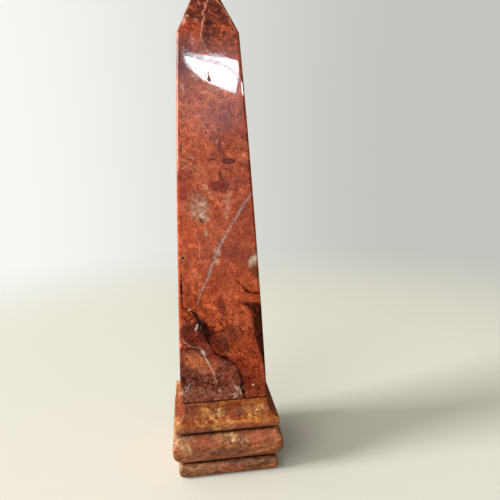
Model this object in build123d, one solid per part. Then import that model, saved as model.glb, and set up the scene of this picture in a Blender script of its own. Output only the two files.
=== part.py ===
from build123d import *
import math
import os

# Table obelisk of polished stone: four cut stones, glued one on another.
# Millimetres, +Z up, the front towards -Y. The origin is on the table,
# under the middle of the square base.

# Foot slab, the lowest and smallest base stone, with bull-nosed edges
foot_width = 78.2
foot_height = 12.4
foot_edge_radius = 5.4

# Roll slab, the widest stone, with heavy rounded edges
roll_width = 85.8
roll_height = 25.0
roll_edge_radius = 10.8

# Cove slab: a nosing below, a hollow cove above it, and a seat for the shaft
nosing_width = 80.9
nosing_height = 7.2
nosing_lower_radius = 3.9
nosing_upper_radius = 0.9
nosing_lip = 0.5
cove_height = 11.4
seat_width = 64.9
seat_band_height = 2.9

# Shaft: a square needle that narrows upwards and ends in a blunt pyramid point.
# Its sides swell a little between foot and shoulder.
shaft_foot_width = 67.1
shoulder_width = 43.6
shaft_swell = 1.0
shaft_height = 270.0
point_height = 45.2
tip_width = 2.4

# How far each mitred corner of the base stones is ground back, along its diagonal
slab_corner_ease = 0.8
cove_corner_ease = 0.4

# Eased arrises of the shaft and its point
shaft_arris_radius = 1.1
shaft_foot_radius = 0.8
tip_edge_radius = 0.3

# The shaft was glued a little to the left of the middle, and a little back
shaft_shift_x = -1.4
shaft_shift_y = 0.8

# Beds of dark cement between the stones, set back from the narrower stone's flat
bed_thickness = 0.6
bed_setback = 1.6

# Chips out of the front left arris: rise above the foot or shoulder of the
# shaft, how deep the bite is, and the radii of the shell-shaped break
foot_chip_rise = 10.5
foot_chip_depth = 1.5
foot_chip_radius = 3.0
foot_chip_half_length = 3.6
nick_rise = 180.5
nick_depth = 1.0
nick_radius = 2.0
nick_half_length = 2.2
point_chip_rise = 9.0
point_chip_depth = 2.0
point_chip_radius = 4.0
point_chip_half_length = 5.0

# Heights of the stack, from the table up
foot_top = foot_height
roll_base = foot_top + bed_thickness
roll_top = roll_base + roll_height
cove_base = roll_top + bed_thickness
nosing_top = cove_base + nosing_height
cove_top = nosing_top + cove_height
seat_top = cove_top + seat_band_height
shaft_base = seat_top + bed_thickness
shoulder_level = shaft_base + shaft_height
tip_level = shoulder_level + point_height


def run_both_ways(outline, reach):
    """The outline run through the block along Y and again along X: what both runs share."""
    run = extrude(outline, amount=reach, both=True)
    return run & Rot(0, 0, 90) * run


def moulded_block(half_outline, reach, corner_ease):
    """A square stone whose four sides follow one moulding, mitred and eased at the corners.

    half_outline is a face on the XZ plane, from the Z axis out to the moulding.
    A slimmer block, stretched sideways by the square root of two and turned by 45 degrees,
    meets the mitres all the way up and grinds each back by corner_ease to a narrow flat.
    """
    stretch = math.sqrt(2)
    slim_half = Pos(-corner_ease / stretch, 0, 0) * half_outline
    square = run_both_ways(half_outline + mirror(half_outline, about=Plane.YZ), reach)
    slim = run_both_ways(slim_half + mirror(slim_half, about=Plane.YZ), reach)
    return square & Rot(0, 0, 45) * scale(slim, (stretch, stretch, 1))


def rounded_edge_outline(width, height, base, edge_radius):
    """Half a slab's cross-section, with a rounded lower and upper edge."""
    edge = width / 2
    flat = edge - edge_radius
    top = base + height
    lower = RadiusArc((flat, base), (edge, base + edge_radius), -edge_radius)
    upper = RadiusArc((edge, top - edge_radius), (flat, top), -edge_radius)
    outline = Curve() + [
        Line((0, base), lower @ 0),
        lower,
        Line(lower @ 1, upper @ 0),
        upper,
        Line(upper @ 1, (0, top)),
        Line((0, top), (0, base)),
    ]
    return Plane.XZ * make_face(outline)


def cove_outline():
    """Half the cove slab's cross-section: nosing, hollow cove and seat band.

    The cove is one arc that leaves the seat band straight down
    and runs out level with the top of the nosing.
    """
    edge = nosing_width / 2
    seat = seat_width / 2
    lip_outer = edge - nosing_upper_radius
    lip_inner = lip_outer - nosing_lip
    run = lip_inner - seat
    cove_radius = (run**2 + cove_height**2) / (2 * run)
    half_sweep = math.asin(cove_height / cove_radius) / 2
    hollow_middle = (
        seat + cove_radius * (1 - math.cos(half_sweep)),
        cove_top - cove_radius * math.sin(half_sweep),
    )
    lower = RadiusArc(
        (edge - nosing_lower_radius, cove_base),
        (edge, cove_base + nosing_lower_radius),
        -nosing_lower_radius,
    )
    upper = RadiusArc((edge, nosing_top - nosing_upper_radius), (lip_outer, nosing_top), -nosing_upper_radius)
    hollow = ThreePointArc((lip_inner, nosing_top), hollow_middle, (seat, cove_top))
    outline = Curve() + [
        Line((0, cove_base), lower @ 0),
        lower,
        Line(lower @ 1, upper @ 0),
        upper,
        Line(upper @ 1, hollow @ 0),
        hollow,
        Line((seat, cove_top), (seat, seat_top)),
        Line((seat, seat_top), (0, seat_top)),
        Line((0, seat_top), (0, cove_base)),
    ]
    return Plane.XZ * make_face(outline)


def edges_at(block, level):
    """The edges of a block that lie flat at one level."""
    return block.edges().filter_by_position(Axis.Z, level - 0.01, level + 0.01)


def corner_edges(block):
    """The edges that stand in the two diagonal planes of a square block."""

    def on_diagonal(point):
        return abs(abs(point.X) - abs(point.Y)) < 0.001

    return [
        edge
        for edge in block.edges()
        if on_diagonal(edge @ 0) and on_diagonal(edge @ 0.5) and on_diagonal(edge @ 1)
    ]


def needle_half_width(rise):
    """Half the shaft's width at a rise above its foot, with the swell of its sides."""
    part_way = rise / shaft_height
    straight = (shaft_foot_width - (shaft_foot_width - shoulder_width) * part_way) / 2
    return straight + shaft_swell * 4 * part_way * (1 - part_way)


def point_half_width(rise):
    """Half the point's width at a rise above the shoulder."""
    return (shoulder_width - (shoulder_width - tip_width) * rise / point_height) / 2


def arris_break(level, half_width, depth, radius, half_length):
    """An egg shape that bites the front left arris to the given depth, as a shell-shaped break."""
    corner = half_width + (radius - depth) / math.sqrt(2)
    egg = scale(Sphere(1), (radius, radius, half_length))
    return Pos(-corner, -corner, level) * egg


def shaft():
    """The needle and its point, one outline run both ways, then eased, chipped and shifted."""
    foot = shaft_foot_width / 2
    shoulder = shoulder_width / 2
    tip = tip_width / 2
    half_rise = shaft_height / 2
    side = ThreePointArc(
        (foot, shaft_base),
        (needle_half_width(half_rise), shaft_base + half_rise),
        (shoulder, shoulder_level),
    )
    outline = Curve() + [
        Line((0, shaft_base), (foot, shaft_base)),
        side,
        Line((shoulder, shoulder_level), (tip, tip_level)),
        Line((tip, tip_level), (0, tip_level)),
        Line((0, tip_level), (0, shaft_base)),
    ]
    half = Plane.XZ * make_face(outline)
    block = run_both_ways(half + mirror(half, about=Plane.YZ), shaft_foot_width)
    block = fillet(corner_edges(block) + edges_at(block, shoulder_level), shaft_arris_radius)
    block = fillet(edges_at(block, shaft_base), shaft_foot_radius)
    block = fillet(edges_at(block, tip_level), tip_edge_radius)
    block -= arris_break(
        shaft_base + foot_chip_rise,
        needle_half_width(foot_chip_rise),
        foot_chip_depth,
        foot_chip_radius,
        foot_chip_half_length,
    )
    block -= arris_break(
        shaft_base + nick_rise,
        needle_half_width(nick_rise),
        nick_depth,
        nick_radius,
        nick_half_length,
    )
    block -= arris_break(
        shoulder_level + point_chip_rise,
        point_half_width(point_chip_rise),
        point_chip_depth,
        point_chip_radius,
        point_chip_half_length,
    )
    return Pos(shaft_shift_x, shaft_shift_y, 0) * block


def cement_bed(flat_below, flat_above, base, shift_x=0.0, shift_y=0.0):
    """A thin square bed between two flats, short of the edges of the narrower one.

    A stone that is shifted sideways leaves less flat to share, and the bed keeps to that.
    """
    narrower = min(flat_below, flat_above) / 2 - bed_setback
    wider = max(flat_below, flat_above) / 2 - bed_setback
    left = max(-narrower + shift_x, -wider)
    right = min(narrower + shift_x, wider)
    front = max(-narrower + shift_y, -wider)
    back = min(narrower + shift_y, wider)
    bed = Box(right - left, back - front, bed_thickness, align=(Align.MIN, Align.MIN, Align.MIN))
    return Pos(left, front, base) * bed


def main():
    foot_flat = foot_width - 2 * foot_edge_radius
    roll_flat = roll_width - 2 * roll_edge_radius
    nosing_flat = nosing_width - 2 * nosing_lower_radius
    shaft_flat = shaft_foot_width - 2 * shaft_foot_radius
    foot_outline = rounded_edge_outline(foot_width, foot_height, 0, foot_edge_radius)
    roll_outline = rounded_edge_outline(roll_width, roll_height, roll_base, roll_edge_radius)
    pieces = {
        "foot_slab": moulded_block(foot_outline, foot_width, slab_corner_ease),
        "foot_bed": cement_bed(foot_flat, roll_flat, foot_top),
        "roll_slab": moulded_block(roll_outline, roll_width, slab_corner_ease),
        "roll_bed": cement_bed(roll_flat, nosing_flat, roll_top),
        "cove_slab": moulded_block(cove_outline(), nosing_width, cove_corner_ease),
        "shaft_bed": cement_bed(seat_width, shaft_flat, seat_top, shaft_shift_x, shaft_shift_y),
        "shaft": shaft(),
    }
    os.makedirs("parts", exist_ok=True)
    for name, piece in pieces.items():
        export_step(piece, f"parts/{name}.step")


main()
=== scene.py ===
import math

import bpy
import numpy as np
from mathutils import Matrix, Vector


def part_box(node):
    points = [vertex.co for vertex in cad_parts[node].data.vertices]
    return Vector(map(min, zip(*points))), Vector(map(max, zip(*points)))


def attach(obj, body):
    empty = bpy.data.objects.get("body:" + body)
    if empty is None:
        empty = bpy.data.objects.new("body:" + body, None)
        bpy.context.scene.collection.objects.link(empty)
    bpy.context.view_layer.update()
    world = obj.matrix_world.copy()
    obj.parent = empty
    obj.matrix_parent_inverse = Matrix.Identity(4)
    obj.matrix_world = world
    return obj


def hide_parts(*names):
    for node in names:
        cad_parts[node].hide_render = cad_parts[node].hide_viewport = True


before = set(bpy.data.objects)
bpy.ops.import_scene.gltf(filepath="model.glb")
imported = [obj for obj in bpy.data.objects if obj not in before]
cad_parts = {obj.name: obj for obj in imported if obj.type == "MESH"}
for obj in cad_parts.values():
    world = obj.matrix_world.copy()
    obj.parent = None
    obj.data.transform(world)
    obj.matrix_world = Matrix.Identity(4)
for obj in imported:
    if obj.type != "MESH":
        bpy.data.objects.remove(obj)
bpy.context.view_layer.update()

# Everything below is in millimetres, and a mesh is brought to metres as it is made.
MM = 0.001


def stone_box(node):
    """Lowest and highest corner of a solid of the frame, in millimetres."""
    low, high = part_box(node)
    return np.array(low) / MM, np.array(high) / MM


foot_low, foot_high = stone_box("foot_slab")
roll_low, roll_high = stone_box("roll_slab")
cove_low, cove_high = stone_box("cove_slab")
shaft_low, shaft_high = stone_box("shaft")

# Mouldings of the three base stones
foot_edge_radius = 5.4
roll_edge_radius = 10.8
nosing_height = 7.2
nosing_lower_radius = 3.9
nosing_upper_radius = 0.9
nosing_lip = 0.5
seat_width = 64.9
seat_band_height = 2.9

# Shaft and point
shaft_foot_width = 67.1
shoulder_width = 43.6
shaft_swell = 1.0
shaft_height = 270.0
tip_width = 2.4
shaft_foot_radius = 0.8
shoulder_radius = 1.6
tip_radius = 0.3
shaft_shift_x = -1.4
shaft_shift_y = 0.8
shaft_base = shaft_low[2]
shoulder_level = shaft_base + shaft_height
tip_level = shaft_high[2]
point_lean = (shoulder_width - tip_width) / 2 / (tip_level - shoulder_level)

# How far hand grinding has rounded the upright corners: front right, back right,
# back left and front left, in the order that the outline runs
foot_corners = (2.4, 2.6, 2.2, 2.8)
roll_corners = (3.0, 3.4, 2.8, 3.2)
cove_corners = (1.0, 1.3, 1.1, 0.9)
shaft_corners = (2.2, 1.4, 1.5, 1.9)


# Shapes of the stones


def arc(middle, radius, start, end, steps):
    """Points on a circle, middle + radius (cos a, sin a), with a from start to end in degrees."""
    angle = np.radians(np.linspace(start, end, steps))
    return np.array(middle) + radius * np.stack([np.cos(angle), np.sin(angle)], axis=1)


def straight(start, end, steps):
    """Points between two others on the line that joins them, with both ends left out."""
    share = np.linspace(0, 1, steps + 2)[1:-1, None]
    return np.array(start) * (1 - share) + np.array(end) * share


def eased_corner(before, corner, after, radius, steps):
    """The arc that rounds a corner of a line, tangent to the lines on both sides of it.

    Its middle is on the corner's bisector, and its points turn evenly
    from the first tangent point to the second.
    """
    before, corner, after = np.array(before), np.array(corner), np.array(after)
    back = (before - corner) / np.linalg.norm(before - corner)
    onward = (after - corner) / np.linalg.norm(after - corner)
    half_opening = math.acos(np.clip(back @ onward, -1, 1)) / 2
    bisector = (back + onward) / np.linalg.norm(back + onward)
    middle = corner + bisector * radius / math.sin(half_opening)
    tangent = radius / math.tan(half_opening)
    first = corner + back * tangent - middle
    last = corner + onward * tangent - middle
    sweep = math.pi - 2 * half_opening
    share = np.linspace(0, 1, steps)[:, None]
    turning = np.sin((1 - share) * sweep) * first + np.sin(share * sweep) * last
    return middle + turning / math.sin(sweep)


def slab_outline(low, high, edge_radius):
    """Half width and level up a slab: flat, quarter circle, upright, quarter circle, flat."""
    half = (high[0] - low[0]) / 2
    flat = half - edge_radius
    lower = arc((flat, low[2] + edge_radius), edge_radius, -90, 0, 26)
    upper = arc((flat, high[2] - edge_radius), edge_radius, 0, 90, 26)
    side = straight(lower[-1], upper[0], 8)
    return np.concatenate([[(0, low[2])], lower, side, upper, [(0, high[2])]])


def cove_outline(low, high):
    """Half width and level up the cove slab: nosing, lip, hollow arc, upright seat band.

    The hollow is one arc that leaves the seat band straight down and ends on the lip.
    """
    half = (high[0] - low[0]) / 2
    nosing_top = low[2] + nosing_height
    cove_top = high[2] - seat_band_height
    cove_height = cove_top - nosing_top
    seat = seat_width / 2
    lip_outer = half - nosing_upper_radius
    lip_inner = lip_outer - nosing_lip
    run = lip_inner - seat
    hollow_radius = (run**2 + cove_height**2) / (2 * run)
    sweep = math.degrees(math.asin(cove_height / hollow_radius))
    lower_middle = (half - nosing_lower_radius, low[2] + nosing_lower_radius)
    upper_middle = (lip_outer, nosing_top - nosing_upper_radius)
    lower = arc(lower_middle, nosing_lower_radius, -90, 0, 18)
    upper = arc(upper_middle, nosing_upper_radius, 0, 90, 9)
    hollow = arc((seat + hollow_radius, cove_top), hollow_radius, 180 + sweep, 180, 44)
    rim = eased_corner(hollow[-1], (seat, high[2]), (0, high[2]), 0.35, 7)
    parts = [
        [(0, low[2])],
        lower,
        straight(lower[-1], upper[0], 8),
        upper,
        hollow,
        straight(hollow[-1], rim[0], 7),
        rim,
        [(0, high[2])],
    ]
    return np.concatenate(parts)


def needle_half(level):
    """Half the needle's width at a level: an even taper and a swell that is widest half way up."""
    part_way = (level - shaft_base) / shaft_height
    taper = shaft_foot_width + (shoulder_width - shaft_foot_width) * part_way
    return taper / 2 + shaft_swell * 4 * part_way * (1 - part_way)


def needle_outline():
    """Half width and level up the shaft: foot, eased edge, swelling side, shoulder, point, tip."""
    low_level, high_level = shaft_base + 2.0, shoulder_level - 2.0
    foot_corner = (shaft_foot_width / 2, shaft_base)
    low_side = (needle_half(low_level), low_level)
    high_side = (needle_half(high_level), high_level)
    shoulder_corner = (shoulder_width / 2, shoulder_level)
    tip_corner = (tip_width / 2, tip_level)
    foot = eased_corner((0, shaft_base), foot_corner, low_side, shaft_foot_radius, 9)
    shoulder = eased_corner(high_side, shoulder_corner, tip_corner, shoulder_radius, 7)
    tip = eased_corner(shoulder_corner, tip_corner, (0, tip_level), tip_radius, 6)
    side_levels = np.linspace(low_level, high_level, 400)
    side = np.stack([needle_half(side_levels), side_levels], axis=1)
    point = straight(shoulder[-1], tip[0], 76)
    return np.concatenate([[(0, shaft_base)], foot, side, shoulder, point, tip, [(0, tip_level)]])


def square_ring(side_steps, corner_steps, corner_radii):
    """Once round a square: where each flat rests, which way it faces, and the rounding there.

    Along a side the resting point slides from corner to corner as the sine of an even
    angle, so it slows down near them, and the facing stays square to the side. At a corner
    the point rests and the facing turns by a quarter. The rounding runs evenly from one
    corner's value to the next one's.
    """
    slide = np.sin(np.linspace(-math.pi / 2, math.pi / 2, side_steps))
    turn = np.linspace(0, math.pi / 2, corner_steps + 2)[1:-1]
    side_rest = np.stack([slide, -np.ones(side_steps)], axis=1)
    side_facing = np.tile([0.0, -1.0], (side_steps, 1))
    corner_rest = np.tile([1.0, -1.0], (corner_steps, 1))
    corner_facing = np.stack([np.sin(turn), -np.cos(turn)], axis=1)
    rest = np.concatenate([side_rest, corner_rest])
    facing = np.concatenate([side_facing, corner_facing])
    quarter = np.array([[0.0, 1.0], [-1.0, 0.0]])
    turns = [np.linalg.matrix_power(quarter, k) for k in range(4)]
    radii = np.roll(corner_radii, 1)
    rounding = [
        np.concatenate([a + (b - a) * (slide + 1) / 2, np.full(corner_steps, b)])
        for a, b in zip(radii, np.roll(radii, -1))
    ]
    return (
        np.concatenate([rest @ t for t in turns]),
        np.concatenate([facing @ t for t in turns]),
        np.concatenate(rounding),
    )


def swell(points, length, waves, seed):
    """Slow unevenness from 0 to 1: the mean of sine waves of about one length, each seeded."""
    rng = np.random.default_rng(seed)
    total = np.zeros(points.shape[:-1])
    for _ in range(waves):
        direction = rng.normal(size=3)
        direction *= 2 * math.pi / (np.linalg.norm(direction) * length * rng.uniform(0.7, 1.4))
        total += np.sin(points @ direction + rng.uniform(0, 2 * math.pi))
    return 0.5 + total / (2 * waves)


def square_stone(outline, ring, hollows, corner_wander, seed, shift=(0.0, 0.0)):
    """A square stone as a grid of points, rows up the outline and columns round the square.

    Point = shift + rest (half width - rounding) + facing rounding, at the outline's level.
    The rounding wanders up and down each corner, and the sides are drawn in by up to
    hollows, slowly and unevenly, as hand grinding leaves them.
    """
    rest, facing, rounding = ring
    half = outline[:, 0][:, None]
    level = np.repeat(outline[:, 1][:, None], len(rest), axis=1)
    plan = np.concatenate([rest[None] * np.maximum(half, 1)[..., None], level[..., None]], axis=2)
    wander = 2 * swell(plan, length=26, waves=7, seed=seed) - 1
    rounded = np.minimum(rounding[None] * (1 + corner_wander * wander), half)
    hollow = hollows * swell(plan, length=85, waves=6, seed=seed + 1)
    drawn_in = hollow * np.minimum(half / half.max(), 1)
    inner = rest[None] * (half - rounded)[..., None]
    outer = facing[None] * (rounded - drawn_in * (half > 0))[..., None]
    return np.concatenate([inner + outer + np.array(shift), level[..., None]], axis=2)


def bitten(grid, middle, radii, seed):
    """The grid with one shell-shaped break: points inside an egg move straight out to its skin.

    The egg's size swells a little from place to place, so the break isn't a clean scoop.
    """
    radii = np.array(radii)
    away = (grid - np.array(middle)) / radii
    distance = np.linalg.norm(away, axis=-1, keepdims=True)
    uneven = 0.9 + 0.2 * swell(grid, radii.mean() * 0.9, 5, seed)[..., None]
    scooped = np.array(middle) + away / np.maximum(distance, 1e-6) * radii * uneven
    return np.where(distance < uneven, scooped, grid)


def corner_bitten(grid, side, half, rounding, level, depth, radius, height, shift, seed):
    """A break in one upright corner: an egg on the corner's diagonal that cuts in by depth."""
    diagonal = np.array(side) / math.sqrt(2)
    out = (half - rounding) * math.sqrt(2) + rounding + radius - depth
    middle = (*(np.array(shift) + diagonal * out), level)
    return bitten(grid, middle, (radius, radius, height), seed)


def corners_worn(grid, half_at, levels, rounding, count, shift, seed):
    """Small seeded breaks up the four corners, most of them tiny."""
    rng = np.random.default_rng(seed)
    for side in ((1, -1), (1, 1), (-1, 1), (-1, -1)):
        for _ in range(count):
            level = rng.uniform(*levels)
            radius = 0.5 + 1.6 * rng.random() ** 3
            depth = radius * rng.uniform(0.18, 0.4)
            height = radius * rng.uniform(0.8, 2.2)
            own = rng.integers(1 << 30)
            half = half_at(level)
            grid = corner_bitten(grid, side, half, rounding, level, depth, radius, height, shift, own)
    return grid


def placed(name, data):
    """A mesh, lamp or camera put into the scene as an object, at the origin."""
    piece = bpy.data.objects.new(name, data)
    bpy.context.scene.collection.objects.link(piece)
    return piece


def skin(name, grid):
    """A closed mesh from a grid: each row meets itself, and the first and last shrink to a point."""
    rows, around, _ = grid.shape
    points = np.concatenate([grid[0, :1], grid[1:-1].reshape(-1, 3), grid[-1, :1]]) * MM
    index = 1 + np.arange((rows - 2) * around).reshape(rows - 2, around)
    ahead = np.roll(index, -1, axis=1)
    walls = np.stack([index[:-1], ahead[:-1], ahead[1:], index[1:]], axis=-1).reshape(-1, 4)
    lowest = np.zeros(around, int)
    highest = np.full(around, len(points) - 1)
    under = np.stack([lowest, ahead[0], index[0]], axis=-1)
    over = np.stack([highest, index[-1], ahead[-1]], axis=-1)
    mesh = bpy.data.meshes.new(name)
    mesh.from_pydata(points.tolist(), [], under.tolist() + walls.tolist() + over.tolist())
    mesh.polygons.foreach_set("use_smooth", np.ones(len(mesh.polygons), bool))
    return placed(name, mesh)


# The four stones


def shaft_half_at(level):
    """Half the width of the shaft or its point at one level."""
    if level < shoulder_level:
        return needle_half(level)
    return shoulder_width / 2 - point_lean * (level - shoulder_level)


# The larger breaks on the shaft's front left corner: level, depth, radius and half its height
shaft_breaks = [
    (shaft_base + 10.5, 1.3, 3.0, 3.6),
    (shaft_base + 180.5, 0.8, 2.0, 2.2),
    (shoulder_level + 9.0, 1.7, 4.0, 5.0),
]


def make_shaft():
    """The shaft with its three larger breaks on the front left corner, and small wear."""
    shift = (shaft_shift_x, shaft_shift_y)
    ring = square_ring(34, 10, shaft_corners)
    grid = square_stone(needle_outline(), ring, hollows=0.05, corner_wander=0.28, seed=11, shift=shift)
    for level, depth, radius, height in shaft_breaks:
        half, rounding = shaft_half_at(level), shaft_corners[3]
        grid = corner_bitten(grid, (-1, -1), half, rounding, level, depth, radius, height, shift, 3)
    levels = (shaft_base + 2, tip_level - 6)
    return corners_worn(grid, shaft_half_at, levels, rounding=1.3, count=26, shift=shift, seed=5)


def make_slab(low, high, edge_radius, corners, seed):
    """A slab with rounded edges on all sides."""
    half = (high[0] - low[0]) / 2
    ring = square_ring(44, 12, corners)
    outline = slab_outline(low, high, edge_radius)
    grid = square_stone(outline, ring, hollows=0.35, corner_wander=0.2, seed=seed)
    upright = (low[2] + edge_radius * 0.5, high[2] - edge_radius * 0.5)
    return corners_worn(
        grid, lambda level: half, upright, rounding=corners[0], count=5, shift=(0, 0), seed=seed + 2
    )


def make_cove():
    """The cove slab, with crisper corners."""
    half = (cove_high[0] - cove_low[0]) / 2
    ring = square_ring(44, 10, cove_corners)
    outline = cove_outline(cove_low, cove_high)
    grid = square_stone(outline, ring, hollows=0.15, corner_wander=0.25, seed=31)
    on_nosing = (cove_low[2] + 1, cove_low[2] + nosing_height)
    return corners_worn(
        grid, lambda level: half, on_nosing, rounding=1.0, count=6, shift=(0, 0), seed=33
    )


# Finishes of the stones and of the cement between them


def tone(red, green, blue):
    """A colour given as it shows on a screen, 0 to 255, in the linear values that shaders take."""
    shown = np.array([red, green, blue]) / 255
    linear = np.where(shown <= 0.04045, shown / 12.92, ((shown + 0.055) / 1.055) ** 2.4)
    return (*linear.tolist(), 1.0)


# How wide a vein is along its course, as a share of its full width
vein_taper = [(0, 0), (0.05, 0.6), (0.3, 0.9), (0.6, 1), (0.95, 0.6), (1, 0)]


class Finish:
    """The nodes of one material. Sockets or plain numbers go in, and a socket comes out."""

    def __init__(self, tree):
        self.tree = tree
        self.tree.nodes.clear()

    def add(self, kind, **settings):
        """A node of one kind, with its settings."""
        node = self.tree.nodes.new(kind)
        for key, value in settings.items():
            setattr(node, key, value)
        return node

    def feed(self, socket, value):
        """Links a socket to the value, or sets the plain value on it."""
        if isinstance(value, bpy.types.NodeSocket):
            self.tree.links.new(value, socket)
        else:
            socket.default_value = value

    def place(self):
        """Where a point is on the object, in millimetres."""
        coordinate = self.add("ShaderNodeTexCoord").outputs["Object"]
        return self.vector("SCALE", coordinate, 1 / MM)

    def maths(self, operation, first, second=0.0, third=0.0):
        """One operation on up to three values."""
        node = self.add("ShaderNodeMath", operation=operation)
        for socket, value in zip(node.inputs, (first, second, third)):
            self.feed(socket, value)
        return node.outputs[0]

    def times(self, first, *others):
        """The product of several values."""
        for other in others:
            first = self.maths("MULTIPLY", first, other)
        return first

    def plus(self, first, *others):
        """The sum of several values."""
        for other in others:
            first = self.maths("ADD", first, other)
        return first

    def vector(self, operation, first, second=(0.0, 0.0, 0.0)):
        """One operation on two vectors, or on a vector and a factor."""
        node = self.add("ShaderNodeVectorMath", operation=operation)
        self.feed(node.inputs[0], first)
        self.feed(node.inputs["Scale" if operation == "SCALE" else 1], second)
        gives_number = operation in ("LENGTH", "DISTANCE", "DOT_PRODUCT")
        return node.outputs["Value" if gives_number else "Vector"]

    def parts(self, vector):
        """The three numbers of a vector."""
        node = self.add("ShaderNodeSeparateXYZ")
        self.feed(node.inputs[0], vector)
        return node.outputs

    def first_of(self, colour):
        """The first of a colour's three numbers, a random value where the colour is random."""
        node = self.add("ShaderNodeSeparateColor")
        self.feed(node.inputs[0], colour)
        return node.outputs[0]

    def joined(self, x, y, z):
        """A vector made of three numbers."""
        node = self.add("ShaderNodeCombineXYZ")
        for socket, value in zip(node.inputs, (x, y, z)):
            self.feed(socket, value)
        return node.outputs[0]

    def span(self, value, low, high, first=0.0, last=1.0, smooth=True):
        """The value carried from low..high to first..last, and held at the ends."""
        node = self.add("ShaderNodeMapRange", interpolation_type="SMOOTHSTEP" if smooth else "LINEAR")
        for socket, entry in zip(node.inputs, (value, low, high, first, last)):
            self.feed(socket, entry)
        return node.outputs[0]

    def noise(self, where, size, detail=2.0, roughness=0.5, output=0):
        """Cloudy noise whose lumps are about one size across."""
        node = self.add("ShaderNodeTexNoise")
        self.feed(node.inputs["Vector"], where)
        node.inputs["Scale"].default_value = 1 / size
        node.inputs["Detail"].default_value = detail
        node.inputs["Roughness"].default_value = roughness
        return node.outputs[output]

    def stirred(self, where, size, reach):
        """A place pushed about by cloudy noise, by up to about reach."""
        push = self.vector("SUBTRACT", self.noise(where, size, output=1), (0.5, 0.5, 0.5))
        return self.vector("ADD", where, self.vector("SCALE", push, 3 * reach))

    def cells(self, where, size, feature="F1"):
        """A pattern of cells about one size across."""
        node = self.add("ShaderNodeTexVoronoi", feature=feature)
        self.feed(node.inputs["Vector"], where)
        node.inputs["Scale"].default_value = 1 / size
        return node

    def threads(self, value, level, width):
        """1 on the contour lines where a value crosses a level, falling to 0 at width."""
        gap = self.maths("ABSOLUTE", self.maths("SUBTRACT", value, level))
        return self.span(gap, width * 0.35, width, 1.0, 0.0)

    def blend(self, amount, under, over, kind="MIX"):
        """One colour over another, by an amount from 0 to 1."""
        node = self.add("ShaderNodeMix", data_type="RGBA", blend_type=kind)
        sockets = (node.inputs[0], node.inputs[6], node.inputs[7])
        for socket, entry in zip(sockets, (amount, under, over)):
            self.feed(socket, entry)
        return node.outputs[2]

    def shone(self, colour, brightness):
        """The colour made lighter or darker by a factor."""
        node = self.add("ShaderNodeCombineColor")
        for socket in node.inputs:
            self.feed(socket, brightness)
        return self.blend(1.0, colour, node.outputs[0], "MULTIPLY")

    def scale_of_tones(self, value, stops):
        """Colour picked along a row of stops, each a position and a tone."""
        node = self.add("ShaderNodeValToRGB")
        self.feed(node.inputs[0], value)
        ramp = node.color_ramp
        for position, colour in stops[1:-1]:
            ramp.elements.new(position).color = colour
        first, last = ramp.elements[0], ramp.elements[-1]
        for element, (position, colour) in ((first, stops[0]), (last, stops[-1])):
            element.position, element.color = position, colour
        return node.outputs[0]

    def drawn_curve(self, value, points):
        """A smooth curve through points, each an entry and a result from 0 to 1."""
        node = self.add("ShaderNodeFloatCurve")
        curve = node.mapping.curves[0]
        curve.points[0].location, curve.points[1].location = points[0], points[-1]
        for point in points[1:-1]:
            curve.points.new(*point)
        node.mapping.update()
        self.feed(node.inputs["Value"], value)
        return node.outputs[0]

    def course_line(self, along, course):
        """How far along its course a point is, 0 to 1, and where the course runs across there."""
        entries, results = np.array(course, float).T
        low, high = results.min() - 1, results.max() + 1
        share = self.span(along, entries[0], entries[-1], smooth=False)
        shares = (entries - entries[0]) / (entries[-1] - entries[0])
        heights = (results - low) / (high - low)
        line = self.drawn_curve(share, list(zip(shares.tolist(), heights.tolist())))
        return share, self.span(line, 0.0, 1.0, low, high, smooth=False)

    def streak(self, along, across, course, half_width, soft, ragged):
        """A vein: 1 on a line that wanders across as it goes along, thinning out at both ends."""
        share, line = self.course_line(along, course)
        gap = self.maths("ABSOLUTE", self.maths("SUBTRACT", across, line))
        width = self.times(self.drawn_curve(share, vein_taper), half_width, ragged)
        return self.span(self.maths("SUBTRACT", width, gap), 0.0, soft)

    def bank(self, along, across, course, side, reach, soft):
        """A zone beside a line, to its right for side 1 and left for -1, that fades out by reach."""
        share, line = self.course_line(along, course)
        beside = self.times(self.maths("SUBTRACT", across, line), side)
        started = self.span(beside, 0.0, soft)
        ended = self.span(beside, reach * 0.5, reach, 1.0, 0.0)
        ends = self.times(self.span(share, 0.0, 0.08), self.span(share, 0.92, 1.0, 1.0, 0.0))
        return self.times(started, ended, ends)

    def flowing(self, along, across, course, size):
        """Bands that run beside a line and follow its turns, as noise drawn out along it."""
        _, line = self.course_line(along, course)
        beside = self.maths("SUBTRACT", across, line)
        return self.noise(self.joined(beside, 0.0, self.times(along, 0.2)), size, 2.5, 0.6)

    def patch(self, where, middle, reach, turn=0.0, soft=0.3):
        """1 inside an upright ellipse on the front, which runs on through the stone.

        middle and reach are across and up, and turn is in degrees, clockwise on the front.
        The place is measured along the ellipse's own two axes, in units of its reach.
        """
        cos, sin = math.cos(math.radians(turn)), math.sin(math.radians(turn))
        along, up = (cos / reach[0], -sin / reach[0]), (sin / reach[1], cos / reach[1])
        squares = 0.0
        for axis in (along, up):
            reading = self.vector("DOT_PRODUCT", where, (axis[0], 0.0, axis[1]))
            run = self.maths("SUBTRACT", reading, axis[0] * middle[0] + axis[1] * middle[1])
            squares = self.maths("MULTIPLY_ADD", run, run, squares)
        return self.span(squares, (1 - soft) ** 2, (1 + soft) ** 2, 1.0, 0.0)

    def anywhere_in(self, where, patches, soft):
        """1 inside any of several ellipses."""
        total = 0.0
        for middle, reach, turn in patches:
            total = self.maths("MAXIMUM", total, self.patch(where, middle, reach, turn, soft))
        return total

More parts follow.
